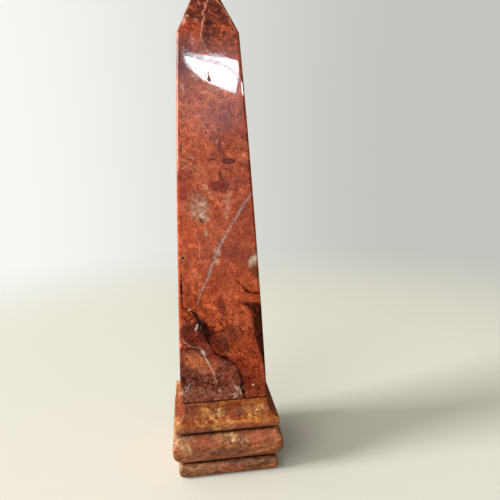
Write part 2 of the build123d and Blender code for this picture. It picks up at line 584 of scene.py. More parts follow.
    def painted(self, colour, where, patches):
        """The colour with ellipses laid over it one by one, each in its own tone."""
        for middle, reach, turn, soft, strength, shade in patches:
            mask = self.times(self.patch(where, middle, reach, turn, soft), strength)
            colour = self.blend(mask, colour, shade)
        return colour

    def veined(self, colour, dull, x, z, veins, ragged, dulling):
        """The colour with veins drawn over it one by one, and how far they dull the polish."""
        for direction, course, half_width, soft, strength, shade in veins:
            along, across = (z, x) if direction == "down" else (x, z)
            mask = self.times(self.streak(along, across, course, half_width, soft, ragged), strength)
            colour = self.blend(mask, colour, shade)
            dull = self.plus(dull, self.times(mask, dulling))
        return colour, dull

    def finished(self, colour, roughness, height, depth, reflection=0.5):
        """Closes the material: colour, roughness and relief, depth millimetres high, in one shader."""
        shader = self.add("ShaderNodeBsdfPrincipled")
        self.feed(shader.inputs["Base Color"], colour)
        self.feed(shader.inputs["Roughness"], roughness)
        shader.inputs["IOR"].default_value = 1.5
        shader.inputs["Specular IOR Level"].default_value = reflection
        bump = self.add("ShaderNodeBump")
        bump.inputs["Strength"].default_value = 1.0
        bump.inputs["Distance"].default_value = depth * MM
        self.feed(bump.inputs["Height"], height)
        self.feed(shader.inputs["Normal"], bump.outputs[0])
        self.closed(shader)

    def closed(self, shader, kind="ShaderNodeOutputMaterial"):
        """Leads the last shader out."""
        self.feed(self.add(kind).inputs["Surface"], shader.outputs[0])


def new_finish(name):
    """An empty material and the means to fill it."""
    material = bpy.data.materials.new(name)
    material.use_nodes = True
    return material, Finish(material.node_tree)


# Tones of the red marble, as they show on a screen
deep_brick = tone(146, 60, 38)
brick = tone(166, 74, 46)
coral = tone(184, 88, 56)
salmon = tone(204, 112, 76)
maroon = tone(88, 26, 20)
seam_black = tone(40, 15, 14)
orange = tone(202, 98, 50)


def marble_ground(f, bed, tones, size):
    """The marble's ground: clouds of four tones, in two sizes of lump."""
    drifted = f.stirred(bed, 1.4 * size, 0.25 * size)
    large = f.noise(drifted, size, 3.0, 0.6)
    small = f.noise(f.vector("ADD", drifted, (50, 20, 70)), size * 0.3, 3.0, 0.6)
    mixed = f.plus(f.times(large, 0.5), f.times(small, 0.5))
    return f.scale_of_tones(mixed, list(zip((0.38, 0.46, 0.53, 0.62), tones)))


def crumbled(f, colour, bed, size, strokes_share, strength):
    """The fine make-up over the tones, as lights and darks that multiply them.

    Small crystals each have their own brightness, crumbs cloud it, and worm-like strokes
    run through it, dark ones and pale ones, along the contour lines of a stirred noise.
    """
    fine = f.stirred(bed, 2.6 * size, 0.7 * size)
    crystal = f.first_of(f.cells(fine, 1.6 * size).outputs["Color"])
    crumbs = f.noise(bed, 1.7 * size, 4.0, 0.78)
    worms = f.threads(f.noise(fine, 2.4 * size, 1.0), 0.5, 0.09)
    broken = f.span(f.noise(f.vector("ADD", bed, (9, 40, 3)), 3.2 * size, 1.0), 0.42, 0.56)
    dark = f.times(worms, broken, strokes_share)
    pale_worms = f.threads(f.noise(f.vector("ADD", fine, (31, 17, 5)), 2.7 * size, 1.0), 0.5, 0.07)
    pale_beds = f.noise(f.vector("ADD", bed, (3, 7, 61)), 5 * size, 1.0)
    pale = f.times(pale_worms, f.span(pale_beds, 0.45, 0.62))
    shares = ((crystal, 0.34), (crumbs, 1.36), (dark, -0.56), (pale, 0.6))
    uneven = f.plus(-0.83, *[f.times(value, share) for value, share in shares])
    return f.shone(colour, f.plus(1.03, f.times(uneven, strength))), dark, crumbs


def pebbled(f, colour, bed, here, size, inside, rim):
    """Pebbles in chosen beds: rounded cells of a lighter tone, each with a thin dark rim."""
    distance = f.cells(f.stirred(bed, 0.9 * size, 0.3 * size), size).outputs["Distance"]
    core = f.span(distance, 0.15, 0.45, 1.0, 0.0)
    ring = f.threads(distance, 0.5, 0.11)
    colour = f.blend(f.times(here, core, 0.75), colour, inside)
    return f.blend(f.times(here, ring, 0.8), colour, rim)


def jewelled(f, colour, bed, here, size, tones):
    """A bed of broken grains: each cell takes one of four tones, with dark joints and pale rings."""
    moved = f.stirred(bed, 0.8 * size, 0.4 * size)
    cell = f.cells(moved, size)
    own = f.scale_of_tones(f.first_of(cell.outputs["Color"]), list(zip((0.1, 0.4, 0.65, 0.9), tones)))
    joint = f.span(f.cells(moved, size, "DISTANCE_TO_EDGE").outputs["Distance"], 0.02, 0.1, 1.0, 0.0)
    ring = f.threads(cell.outputs["Distance"], 0.3, 0.1)
    broken = f.span(f.noise(f.vector("ADD", bed, (7, 3, 29)), 1.5 * size, 2.0), 0.34, 0.5)
    here = f.times(here, broken)
    colour = f.blend(f.times(here, 0.8), colour, own)
    colour = f.blend(f.times(here, ring, 0.45), colour, tones[3])
    return f.blend(f.times(here, joint, 0.6), colour, tones[0])


def clotted(f, colour, bed, here, size, shade, strength):
    """Uneven clots of another tone in chosen beds, where a fine noise runs high."""
    moved = f.vector("ADD", f.stirred(bed, size, 0.4 * size), (12, 5, 44))
    clots = f.span(f.noise(moved, size, 3.0, 0.65), 0.5, 0.6)
    return f.blend(f.times(here, clots, strength), colour, shade)


def depth_behind_front(f, y, z):
    """How far a point of the shaft lies behind its leaning front, up the needle and then the point."""
    foot_front = shaft_shift_y - shaft_foot_width / 2
    shoulder_front = shaft_shift_y - shoulder_width / 2
    needle = f.span(z, shaft_base, shoulder_level, foot_front, shoulder_front, smooth=False)
    point = f.span(z, shoulder_level, tip_level, 0.0, (shoulder_width - tip_width) / 2, smooth=False)
    return f.maths("SUBTRACT", y, f.plus(needle, point))


def near_breaks(f):
    """1 in the breaks of the shaft's corner, where the stone shows unpolished, and 0 elsewhere.

    The breaks are taller than they are wide, so their heights are squashed to measure them
    as balls, each on its corner's diagonal.
    """
    squash, corner = 0.83, shaft_corners[3]
    squat = f.vector("MULTIPLY", f.place(), (1.0, 1.0, squash))
    broken = 0.0
    for level, depth, radius, _ in shaft_breaks:
        out = shaft_half_at(level) - corner + (corner + radius - depth) / math.sqrt(2)
        middle = (shaft_shift_x - out, shaft_shift_y - out, squash * level)
        away = f.vector("DISTANCE", squat, middle)
        broken = f.plus(broken, f.span(away, radius, radius * 1.15, 1.0, 0.0))
    return broken


def shaft_finish():
    """Polished red marble with the shaft's own veins, clouds and seams.

    The marks are given on the front face. Behind it they lean up and to the left and
    wander more the deeper they go, so the sides and the back show them changed.
    """
    lean_left, lean_up = 0.4, 0.45
    wander_size, wander_reach = 42, 60.0
    polish = 0.022
    material, f = new_finish("polished red marble")
    place = f.place()
    _, y, z = f.parts(place)
    depth = f.maths("MAXIMUM", depth_behind_front(f, y, z), 0.0)
    push = f.vector("SUBTRACT", f.noise(place, wander_size, output=1), (0.5, 0.5, 0.5))
    wander = f.vector("SCALE", push, f.times(f.span(depth, 1.0, 40.0), wander_reach))
    lean = f.joined(f.times(depth, lean_left), 0.0, f.times(depth, lean_up))
    bed = f.vector("ADD", place, f.vector("ADD", lean, wander))
    swayed = f.stirred(bed, 6.0, 0.5)
    frayed = f.stirred(bed, 2.4, 0.45)
    torn = f.stirred(swayed, 1.9, 0.65)
    swayed_x, _, swayed_z = f.parts(f.stirred(swayed, 2.2, 0.25))
    frayed_x, _, frayed_z = f.parts(frayed)
    torn_x, _, torn_z = f.parts(torn)
    ragged = f.span(f.noise(bed, 6.5), 0.3, 0.7, 0.55, 1.25)
    even = f.span(f.noise(bed, 3.0), 0.3, 0.7, 0.7, 1.15)

    colour = marble_ground(f, bed, (deep_brick, brick, coral, salmon), 15)
    colour = f.painted(colour, torn, shaft_clouds)
    for course, side, reach, soft, strength, shade in shaft_banks:
        mask = f.times(f.bank(torn_z, torn_x, course, side, reach, soft), strength)
        colour = f.blend(mask, colour, shade)
    colour = f.painted(colour, torn, shaft_patches)
    for patches, size, strength, shade in shaft_clots:
        colour = clotted(f, colour, bed, f.anywhere_in(torn, patches, 0.45), size, shade, strength)

    flow = f.flowing(swayed_z, swayed_x, black_seam, 3.2)
    flow_reach = f.bank(swayed_z, swayed_x, black_seam, 1, 32.0, 3.0)
    colour = f.shone(colour, f.plus(1.0, f.times(f.maths("SUBTRACT", flow, 0.5), flow_reach, 2.2)))

    colour, dull = f.veined(colour, 0.0, frayed_x, frayed_z, shaft_veins, even, 0.05)
    for middle, reach, turn in shaft_pebbles:
        rim = (reach[0] + 0.8, reach[1] + 0.8)
        colour = f.painted(colour, torn, [(middle, rim, turn, 0.3, 0.6, maroon)])
        colour = f.painted(colour, torn, [(middle, reach, turn, 0.35, 0.75, pebble_orange)])
    colour = f.painted(colour, frayed, shaft_spots)
    busy = f.plus(f.span(z, 196, 232, 0.5, 0.8), f.span(z, 120, 150, 0.5, 0.0))
    colour, strokes, _ = crumbled(f, colour, bed, 1.0, busy, 1.0)
    colour = pebbled(f, colour, bed, f.anywhere_in(torn, pebble_beds, 0.3), 5.2, orange, maroon)
    colour, dull = f.veined(colour, dull, swayed_x, swayed_z, shaft_seams, ragged, 0.08)
    # Painted shade: the lowest millimetre of the shaft is darkened where it sits on its bed
    painted_foot_shade = f.span(z, shaft_base + 0.3, shaft_base + 1.3, 0.25, 1.0)
    colour = f.shone(colour, painted_foot_shade)

    pinholes = f.span(f.cells(bed, 6.5).outputs["Distance"], 0.03, 0.08, 1.0, 0.0)
    pits = f.maths("MAXIMUM", pinholes, f.anywhere_in(frayed, shaft_pits, 0.3))
    colour = f.blend(f.times(pits, 0.75), colour, maroon)
    dust_trail = f.streak(frayed_x, frayed_z, dust_line, 2.7, 1.8, 1.0)
    dust = f.times(dust_trail, f.span(f.noise(bed, 1.2), 0.36, 0.56))
    relief = f.plus(f.times(strokes, -0.12), f.times(pits, -1.0))
    colour = f.blend(f.times(dust, 0.35), colour, tone(176, 172, 186))
    broken = near_breaks(f)
    colour = f.blend(f.times(broken, 0.25), colour, tone(176, 104, 84))
    roughness = f.plus(polish, f.times(strokes, 0.03), dull, f.times(pits, 0.5))
    roughness = f.plus(roughness, f.times(dust, 0.12), f.times(broken, 0.5))
    f.finished(colour, roughness, relief, 0.02)
    return material


# Marks on the front of the shaft. A cloud, patch or spot is its middle across and up, its
# reach across and up, a clockwise turn, how soft its edge is, how strong it is, and its tone.
pebble_orange = tone(196, 92, 50)
shaft_clouds = [
    ((1.5, 271.3), (12.0, 8.0), 0, 0.6, 0.6, tone(134, 62, 60)),
    ((0.0, 257.5), (3.2, 4.6), -20, 0.4, 0.8, tone(106, 46, 44)),
    ((3.4, 250.8), (1.7, 4.8), -30, 0.4, 0.75, tone(116, 50, 44)),
    ((23.0, 239.0), (5.5, 3.6), 0, 0.6, 0.85, tone(104, 42, 36)),
    ((12.0, 285.0), (9.0, 8.0), 0, 0.7, 0.4, tone(150, 70, 62)),
    ((-14.0, 323.0), (7.0, 6.5), 0, 0.6, 0.5, tone(180, 96, 88)),
    ((13.5, 322.0), (7.0, 8.0), 0, 0.6, 0.5, tone(158, 84, 76)),
    ((-24.5, 234.0), (6.0, 3.6), 5, 0.6, 0.7, tone(120, 38, 30)),
    ((-23.0, 223.0), (5.0, 7.0), 0, 0.7, 0.4, tone(160, 60, 40)),
    ((18.0, 236.0), (8.0, 5.0), 0, 0.6, 0.5, tone(146, 56, 36)),
    ((19.0, 195.0), (8.0, 16.0), 0, 0.7, 0.6, tone(150, 66, 40)),
    ((-5.7, 186.0), (7.0, 10.0), 0, 0.7, 0.5, tone(182, 92, 58)),
    ((-22.0, 188.0), (6.0, 14.0), 0, 0.7, 0.5, tone(190, 82, 44)),
    ((-14.0, 264.0), (11.0, 16.0), 0, 0.7, 0.5, tone(200, 98, 60)),
    ((-2.0, 238.0), (20.0, 8.0), 0, 0.7, 0.4, tone(194, 94, 58)),
    ((14.2, 174.3), (11.5, 6.5), 25, 0.6, 0.65, tone(122, 46, 34)),
    ((8.0, 160.0), (14.0, 9.0), 20, 0.7, 0.4, tone(176, 84, 52)),
    ((4.0, 168.0), (15.0, 14.0), 0, 0.7, 0.35, tone(146, 66, 46)),
    ((-22.0, 136.0), (11.0, 13.0), 0, 0.6, 0.55, tone(140, 56, 30)),
    ((10.0, 140.0), (12.0, 12.0), 0, 0.6, 0.3, tone(168, 72, 42)),
    ((20.6, 72.0), (13.0, 14.0), 0, 0.5, 0.8, tone(124, 52, 30)),
    ((19.0, 94.0), (11.0, 14.0), 30, 0.5, 0.75, tone(142, 60, 32)),
    ((14.0, 108.0), (7.0, 12.0), 0, 0.5, 0.5, tone(168, 74, 42)),
    ((-1.0, 347.0), (20.0, 13.5), 0, 0.35, 0.9, tone(80, 28, 23)),
    ((-2.0, 329.0), (5.2, 8.5), 8, 0.45, 0.92, tone(78, 34, 34)),
    ((10.0, 341.0), (9.0, 5.0), 20, 0.5, 0.6, tone(104, 40, 30)),
    ((10.5, 326.0), (9.0, 6.0), 0, 0.6, 0.5, tone(140, 62, 46)),
    ((-13.5, 333.0), (8.5, 6.5), 0, 0.4, 0.8, tone(168, 70, 44)),
    ((0.0, 318.0), (24.0, 4.5), 0, 0.6, 0.5, tone(112, 52, 48)),
    ((-20.0, 314.0), (5.5, 12.0), 0, 0.6, 0.8, tone(84, 40, 48)),
    ((-17.0, 298.0), (8.0, 12.0), 0, 0.6, 0.4, tone(130, 54, 42)),
]
shaft_patches = [
    ((-21.0, 116.0), (11.5, 11.5), 0, 0.25, 0.92, tone(96, 42, 36)),
    ((-20.5, 112.5), (6.0, 4.5), 0, 0.6, 0.6, tone(134, 54, 32)),
    ((-14.4, 118.5), (3.6, 8.5), -28, 0.4, 0.85, tone(46, 20, 18)),
    ((3.0, 110.5), (9.5, 10.0), 25, 0.35, 0.75, tone(104, 48, 32)),
    ((-1.0, 104.5), (4.0, 8.5), -35, 0.5, 0.6, tone(76, 32, 26)),
    ((-0.6, 134.5), (2.6, 8.5), -4, 0.6, 0.7, tone(112, 46, 40)),
    ((8.0, 103.0), (4.5, 4.0), 40, 0.5, 0.6, tone(186, 80, 38)),
    ((-20.5, 92.5), (11.5, 5.6), 38, 0.3, 0.92, tone(184, 106, 66)),
    ((-9.5, 89.5), (4.5, 5.0), 20, 0.4, 0.75, tone(182, 88, 56)),
    ((-8.5, 98.0), (3.4, 4.2), 35, 0.35, 0.7, tone(142, 50, 24)),
    ((2.0, 80.0), (2.6, 7.0), 20, 0.6, 0.55, tone(146, 62, 42)),
    ((-27.0, 80.5), (8.5, 7.5), 20, 0.35, 0.75, tone(66, 28, 30)),
    ((-8.0, 75.0), (10.0, 5.0), 0, 0.5, 0.6, tone(70, 30, 30)),
    ((9.2, 242.4), (4.8, 2.3), 4, 0.2, 0.9, tone(92, 40, 30)),
    ((-0.8, 225.0), (5.4, 3.4), -12, 0.2, 0.9, tone(124, 48, 30)),
    ((3.9, 225.0), (3.4, 5.2), -15, 0.2, 0.88, tone(134, 52, 32)),
    ((2.8, 232.0), (1.3, 3.0), -15, 0.4, 0.85, tone(84, 30, 22)),
    ((-4.5, 252.5), (4.5, 4.5), -25, 0.7, 0.5, tone(196, 100, 56)),
    ((-26.0, 94.0), (3.0, 2.0), 0, 0.5, 0.5, tone(196, 112, 66)),
    ((24.9, 169.4), (2.4, 4.6), 35, 0.6, 0.85, tone(206, 178, 156)),
    ((26.2, 161.0), (2.6, 5.4), -20, 0.6, 0.8, tone(88, 56, 26)),
    ((-2.1, 177.0), (2.4, 2.6), 0, 0.6, 0.5, tone(200, 164, 140)),
    ((-2.6, 170.5), (1.8, 1.6), 0, 0.6, 0.5, tone(210, 180, 150)),
    ((-13.4, 209.5), (6.0, 10.0), -15, 0.6, 0.6, tone(172, 122, 98)),
    ((-13.0, 197.0), (3.5, 3.0), 0, 0.5, 0.5, tone(206, 96, 42)),
]
pebble_beds = [
    ((-24.0, 128.5), (6.0, 5.0), 0),
    ((-5.0, 119.0), (5.0, 5.0), 40),
    ((9.5, 330.0), (9.0, 7.5), 0),
    ((-14.0, 337.0), (5.0, 4.5), 0),
]
shaft_pebbles = [
    ((-16.6, 131.5), (2.4, 1.9), 25),
    ((-25.3, 131.5), (2.4, 1.6), -10),
    ((-11.9, 126.0), (1.8, 1.5), 20),
    ((-9.0, 122.4), (2.3, 1.8), 20),
    ((-20.6, 136.2), (1.6, 1.4), 0),
    ((8.2, 335.0), (2.2, 1.6), 0),
    ((4.0, 334.6), (1.4, 1.4), 0),
    ((6.9, 327.6), (1.8, 2.2), 0),
    ((11.4, 332.6), (1.6, 1.9), 0),
]
# Beds of clots: where they are, how large a clot is, how strong, and its tone
shaft_clots = [
    ([((-1.0, 347.0), (18.0, 12.0), 0)], 3.0, 0.75, tone(164, 78, 52)),
    ([((0.0, 320.0), (21.0, 6.0), 0)], 2.0, 0.75, tone(190, 96, 64)),
    ([((-20.0, 112.0), (9.0, 9.0), 0)], 2.6, 0.6, tone(52, 20, 24)),
    ([((-14.5, 120.5), (3.6, 6.5), -20), ((-10.8, 109.0), (2.4, 8.0), -15)], 2.4, 0.95, seam_black),
    ([((-6.0, 78.0), (22.0, 12.0), 10)], 3.2, 0.85, tone(156, 92, 66)),
    ([((-8.0, 65.0), (26.0, 6.0), 0)], 1.9, 0.7, tone(168, 108, 84)),
    ([((-20.5, 92.5), (11.5, 5.6), 38)], 2.2, 0.6, tone(150, 70, 40)),
    ([((24.0, 112.0), (6.0, 22.0), 0)], 3.0, 0.6, tone(126, 50, 28)),
    ([((4.0, 108.0), (9.5, 9.0), 25)], 2.0, 0.6, tone(136, 66, 42)),
    ([((-12.8, 208.0), (5.2, 8.6), -18)], 3.0, 0.75, tone(198, 166, 140)),
    ([((-13.8, 211.5), (5.0, 6.6), -10)], 2.0, 0.6, tone(134, 100, 84)),
    ([((-7.0, 223.6), (1.9, 3.8), -35)], 1.8, 0.95, tone(204, 172, 142)),
    ([((6.5, 213.0), (3.0, 9.0), 8)], 1.9, 0.55, tone(188, 136, 116)),
    ([((-21.0, 245.0), (5.0, 6.0), 0), ((-15.0, 238.0), (7.0, 4.0), 30)],
     1.8, 0.5, tone(190, 122, 100)),
    ([((12.6, 226.0), (5.0, 4.0), 0)], 1.5, 0.6, tone(146, 100, 98)),
    ([((-28.6, 72.0), (3.6, 4.2), 30), ((-18.0, 70.2), (2.0, 1.6), 0)], 1.8, 0.5, tone(176, 150, 134)),
    ([((9.2, 67.0), (3.8, 4.6), 20)], 2.4, 0.75, tone(180, 154, 138)),
]
shaft_spots = [
    ((-12.6, 200.5), (0.9, 2.6), -35, 0.4, 0.85, tone(84, 62, 46)),
    ((-11.5, 203.6), (1.0, 2.4), -40, 0.4, 0.8, tone(214, 190, 166)),
    ((-9.4, 191.1), (0.9, 3.0), -8, 0.6, 0.7, tone(150, 126, 118)),
    ((-27.2, 173.7), (2.0, 1.9), 0, 0.4, 0.7, tone(170, 118, 92)),
    ((-27.2, 173.7), (1.2, 1.2), 0, 0.4, 0.9, tone(58, 24, 18)),
    ((-4.5, 267.3), (1.0, 1.5), 15, 0.4, 0.8, tone(92, 50, 56)),
    ((-6.0, 262.7), (0.8, 0.9), 0, 0.5, 0.8, maroon),
    ((1.2, 256.1), (0.8, 1.6), 20, 0.5, 0.7, tone(204, 132, 124)),
    ((-2.8, 247.1), (1.3, 1.4), 0, 0.5, 0.7, tone(124, 56, 74)),
    ((-2.9, 244.0), (2.0, 0.9), -15, 0.4, 0.85, tone(92, 32, 20)),
    ((19.6, 259.1), (0.6, 1.3), 0, 0.4, 0.8, maroon),
    ((-17.3, 245.4), (1.6, 1.0), 20, 0.5, 0.6, tone(196, 140, 134)),
    ((-19.9, 120.9), (0.8, 2.4), 20, 0.4, 0.9, tone(206, 186, 164)),
    ((-16.4, 121.4), (0.6, 2.4), 10, 0.6, 0.45, tone(140, 116, 104)),
    ((-15.6, 85.6), (1.3, 1.3), 0, 0.4, 0.85, tone(122, 110, 108)),
    ((-24.9, 134.5), (1.3, 0.7), 15, 0.4, 0.9, tone(200, 184, 168)),
    ((6.4, 130.9), (0.9, 0.8), 0, 0.5, 0.8, salmon),
    ((21.2, 71.7), (0.8, 0.8), 0, 0.4, 0.9, tone(222, 170, 144)),
    ((-5.0, 69.4), (0.9, 1.0), 0, 0.4, 0.7, tone(190, 160, 140)),
    ((-12.8, 325.5), (0.8, 3.6), -6, 0.6, 0.6, tone(168, 124, 136)),
    ((-20.6, 293.5), (0.8, 3.0), -8, 0.5, 0.7, tone(170, 138, 140)),
    ((-15.8, 100.6), (1.0, 2.0), -35, 0.5, 0.8, tone(222, 198, 188)),
    ((-15.3, 342.3), (0.9, 0.9), 0, 0.4, 0.8, tone(216, 170, 140)),
    ((-9.5, 339.6), (1.2, 0.9), 30, 0.5, 0.7, tone(190, 122, 96)),
    ((-12.6, 349.0), (1.6, 1.0), 30, 0.5, 0.8, tone(196, 104, 44)),
    ((-6.5, 351.8), (1.2, 1.5), -30, 0.5, 0.7, tone(186, 98, 62)),
    ((7.4, 345.8), (1.3, 1.5), 0, 0.5, 0.8, tone(52, 24, 34)),
    ((-0.5, 336.6), (2.6, 2.2), 20, 0.5, 0.8, tone(48, 20, 26)),
]
shaft_pits = [
    ((-2.2, 298.9), (1.1, 1.4), 0),
    ((-2.4, 300.9), (0.5, 1.2), 0),
    ((-2.7, 303.5), (0.5, 0.5), 0),
]

# A course is a row of points down the front, each a level and how far across, or for
# "across" each how far across and a level. A bank has a side, a reach and a softness.
black_seam = [
    (157.9, -28.9), (152.6, -29.6), (145.6, -29.9), (141.2, -29.8), (137.2, -29.4), (134.7, -25.9),
    (132.1, -21.3), (129.3, -19.4), (126.0, -18.1), (121.3, -15.8), (115.7, -13.0), (111.0, -11.9),
    (106.4, -11.0), (101.5, -8.3), (98.1, -5.8), (95.9, -2.4), (94.7, 1.1), (91.5, 5.5), (86.5, 9.3),
    (80.1, 11.8), (73.4, 12.8), (64.0, 13.2), (48.0, 15.0),
]
right_band = [
    (140.5, 7.0), (137.3, 12.0), (135.3, 15.5), (132.3, 19.0), (127.6, 20.8), (122.1, 21.3),
    (116.5, 21.7), (110.9, 22.4), (105.3, 23.6), (99.5, 25.4), (93.8, 27.4), (88.0, 28.6),
    (76.0, 31.5),
]
shaft_banks = [
    (black_seam[12:], -1, 90.0, 2.0, 0.9, tone(110, 59, 48)),
    (black_seam[8:], 1, 11.0, 2.0, 0.85, tone(120, 40, 22)),
    (right_band, 1, 19.0, 2.6, 0.97, tone(50, 20, 15)),
]
main_vein = [
    (255.0, 60.0), (243.0, 50.0), (236.0, 40.0), (225.0, 30.0), (218.4, 25.0), (214.1, 21.2),
    (209.8, 17.8), (203.9, 14.3), (199.5, 11.3), (194.8, 8.2), (189.6, 5.1), (185.0, 2.0),
    (180.4, -0.8), (176.4, -2.6), (170.4, -5.1), (164.5, -7.7), (158.5, -9.9), (152.5, -13.0),
    (147.3, -15.6), (142.1, -17.3), (137.7, -18.4), (133.0, -19.0),
]
main_vein_core = [(level, across + 0.5) for level, across in main_vein]
shaft_veins = [
    ("down", [(193.2, -21.0), (187.8, -16.5), (182.5, -14.7), (174.4, -15.2), (169.1, -13.3),
              (164.8, -9.2)],
     0.8, 0.6, 0.7, tone(214, 136, 110)),
    ("down", [(220.5, 9.2), (213.8, 7.6), (208.2, 6.8), (199.0, 6.0)],
     1.9, 1.6, 0.55, tone(188, 138, 124)),
    ("down", main_vein, 1.8, 1.0, 0.85, tone(152, 110, 102)),
    ("down", main_vein_core, 0.9, 0.7, 0.75, tone(184, 150, 142)),
    ("down", [(143.0, -13.3), (136.0, -8.7), (128.3, -4.1), (122.3, 0.0), (114.0, 4.4)],
     1.0, 1.0, 0.6, tone(214, 110, 56)),
    ("down", [(136.0, -13.0), (128.3, -8.2), (122.3, -3.4), (112.0, 1.0)],
     0.8, 0.8, 0.6, tone(206, 104, 52)),
    ("down", [(356.5, 0.6), (353.9, 0.0), (351.0, -1.8), (347.1, -2.8), (344.3, -4.2), (341.2, -3.7),
              (337.7, -4.8), (333.4, -5.5), (329.2, -6.4), (319.0, -3.5), (316.0, -2.6)],
     0.9, 0.7, 0.9, tone(210, 140, 112)),
    ("down", [(353.6, -3.2), (351.4, -2.2), (349.6, -1.6)], 0.7, 0.5, 0.8, tone(204, 128, 100)),
    ("down", [(357.0, 4.0), (353.6, 6.6), (350.0, 9.6), (345.0, 12.2), (340.0, 14.2), (332.0, 17.0)],
     1.3, 0.8, 0.85, tone(204, 122, 80)),
    ("down", [(346.4, 0.6), (344.8, 1.7), (342.8, 5.0), (340.6, 7.8)],
     0.9, 0.7, 0.75, tone(186, 92, 74)),
]
shaft_seams = [
    ("down", [(166.0, -28.8), (150.0, -29.9), (136.0, -29.2)], 1.0, 0.6, 0.85, seam_black),
    ("down", [(150.0, -29.9), (146.0, -24.0), (143.0, -18.6)], 0.5, 0.4, 0.6, seam_black),
    ("across", [(10.6, 155.0), (13.6, 152.4), (16.2, 149.2), (18.6, 146.4), (22.5, 144.8),
                (29.0, 143.6)],
     1.5, 0.9, 0.9, seam_black),
    ("down", [(121.6, 6.4), (120.4, 10.6), (117.8, 13.2), (112.0, 14.6)], 1.0, 0.6, 0.85, seam_black),
    ("across", [(-26.5, 244.4), (-22.0, 241.6), (-19.0, 240.0)], 0.8, 0.5, 0.85, tone(60, 30, 30)),
    ("across", [(-20.0, 240.6), (-15.8, 237.3), (-9.5, 233.2)], 0.6, 0.5, 0.6, tone(80, 50, 46)),
    ("across", [(-21.0, 241.2), (-15.8, 239.3), (-10.5, 236.2)],
     0.7, 0.6, 0.55, tone(196, 142, 128)),
    ("down", [(280.5, 9.8), (277.0, 11.5), (273.5, 13.0)], 0.7, 0.3, 0.9, tone(84, 28, 20)),
    ("down", [(258.0, -23.0), (254.0, -24.0), (248.0, -24.2)], 0.7, 0.5, 0.7, tone(84, 38, 34)),
    ("down", black_seam[:14], 1.9, 1.2, 0.9, seam_black),
    ("across", [(-14.0, 113.0), (-11.0, 106.4), (-8.3, 101.5), (-5.8, 98.1), (-2.4, 95.9), (1.1, 94.7),
                (5.5, 91.5), (9.3, 86.5), (12.0, 80.0)],
     2.7, 1.8, 0.95, tone(38, 14, 16)),
    ("down", black_seam[15:], 2.7, 2.0, 0.93, tone(36, 13, 17)),
    ("across", [(-34.0, 104.2), (-27.5, 104.5), (-22.3, 104.1), (-17.6, 102.2)],
     1.1, 0.7, 0.85, seam_black),
    ("down", [(114.0, -32.4), (111.1, -30.2), (108.7, -28.1), (106.1, -24.8), (104.8, -20.5),
              (103.7, -17.5), (100.8, -15.9), (97.4, -14.7), (92.6, -12.7), (88.2, -10.7),
              (82.9, -8.7), (75.5, -6.2)],
     1.05, 0.8, 0.82, tone(204, 164, 148)),
    ("down", [(74.0, 6.0), (70.0, 8.6), (63.6, 13.0)], 0.8, 0.6, 0.85, tone(214, 196, 180)),
    ("down", [(68.0, 10.0), (65.0, 8.0), (61.0, 5.0)], 0.8, 0.6, 0.8, tone(206, 184, 164)),
    ("down", [(77.2, -26.2), (73.0, -29.3), (69.6, -31.4)], 0.9, 0.8, 0.75, tone(196, 176, 160)),
]
dust_line = [
    (-20.0, 316.0), (-12.7, 314.5), (-6.7, 312.7), (-1.4, 311.2), (4.0, 310.1), (9.3, 307.4),
    (13.9, 304.8), (20.5, 298.8),
]


def slab_finish(
    name, seed_shift, tones, clouds, grain_beds, grain_tones, painted_joint_shade, roughness_floor, reflection
):
    """Honed marble of a base stone: satin, crackled and grained, with its own clouds and grain beds.

    Dark bands of painted shade lie along the sheltered joints and, on the foot, along the floor: each
    is given as a level, the reach above or below it, and how far out from the middle the dark band
    goes.
    """
    material, f = new_finish(name)
    place = f.place()
    x, y, z = f.parts(place)
    depth = f.span(y, -44.0, 44.0, 0.0, 88.0, smooth=False)
    bed = f.vector("ADD", place, f.joined(f.times(depth, 0.35), 0.0, f.times(depth, 0.12)))
    seeded = f.vector("ADD", bed, seed_shift)
    torn = f.stirred(f.stirred(bed, 6.0, 1.8), 1.7, 0.8)
    drawn_out = f.joined(f.times(x, 0.5), f.times(y, 0.5), f.plus(z, f.times(x, -0.2)))
    streaked = f.vector("ADD", drawn_out, seed_shift)
    colour = marble_ground(f, streaked, tones, 8)
    colour = f.painted(colour, torn, clouds)
    large = f.anywhere_in(torn, grain_beds, 0.5)
    colour = jewelled(f, colour, seeded, large, 3.8, grain_tones)
    colour = clotted(f, colour, f.vector("ADD", seeded, (3, 8, 5)), 1.0, 5.0, tones[0], 0.45)
    colour = clotted(f, colour, f.vector("ADD", seeded, (61, 2, 17)), 1.0, 3.6, tones[3], 0.35)
    colour, strokes, crumbs = crumbled(f, colour, streaked, 0.9, 0.6, 0.75)
    cracks = f.threads(f.noise(f.stirred(seeded, 9, 2.0), 9.0, 2.0, 0.6), 0.5, 0.016)
    cracks = f.times(cracks, f.span(f.noise(seeded, 12.0), 0.45, 0.55))
    colour = f.blend(f.times(cracks, 0.6), colour, tone(66, 34, 22))
    outward = f.maths("MAXIMUM", f.maths("ABSOLUTE", x), f.maths("ABSOLUTE", y))
    ragged = f.times(f.maths("SUBTRACT", f.noise(seeded, 4.0), 0.5), 3.0)
    # Painted shade: each band darkens the stone along a joint or the floor, inside the given reach
    # from the middle
    for level, reach, limit in painted_joint_shade:
        away = f.maths("ABSOLUTE", f.maths("SUBTRACT", z, level))
        beside = f.span(away, reach * 0.4, reach, 1.0, 0.0)
        inside = f.span(f.plus(outward, ragged), limit - 1.2, limit + 0.8, 1.0, 0.0)
        colour = f.blend(f.times(beside, inside, 0.88), colour, tone(34, 16, 12))
    grain = f.noise(seeded, 0.5, 3.0, 0.6)
    relief = f.plus(f.times(grain, 0.35), f.times(strokes, -0.4), f.times(cracks, -1.2))
    roughness = f.span(crumbs, 0.35, 0.65, roughness_floor, roughness_floor + 0.14)
    f.finished(colour, roughness, relief, 0.03, reflection)
    return material


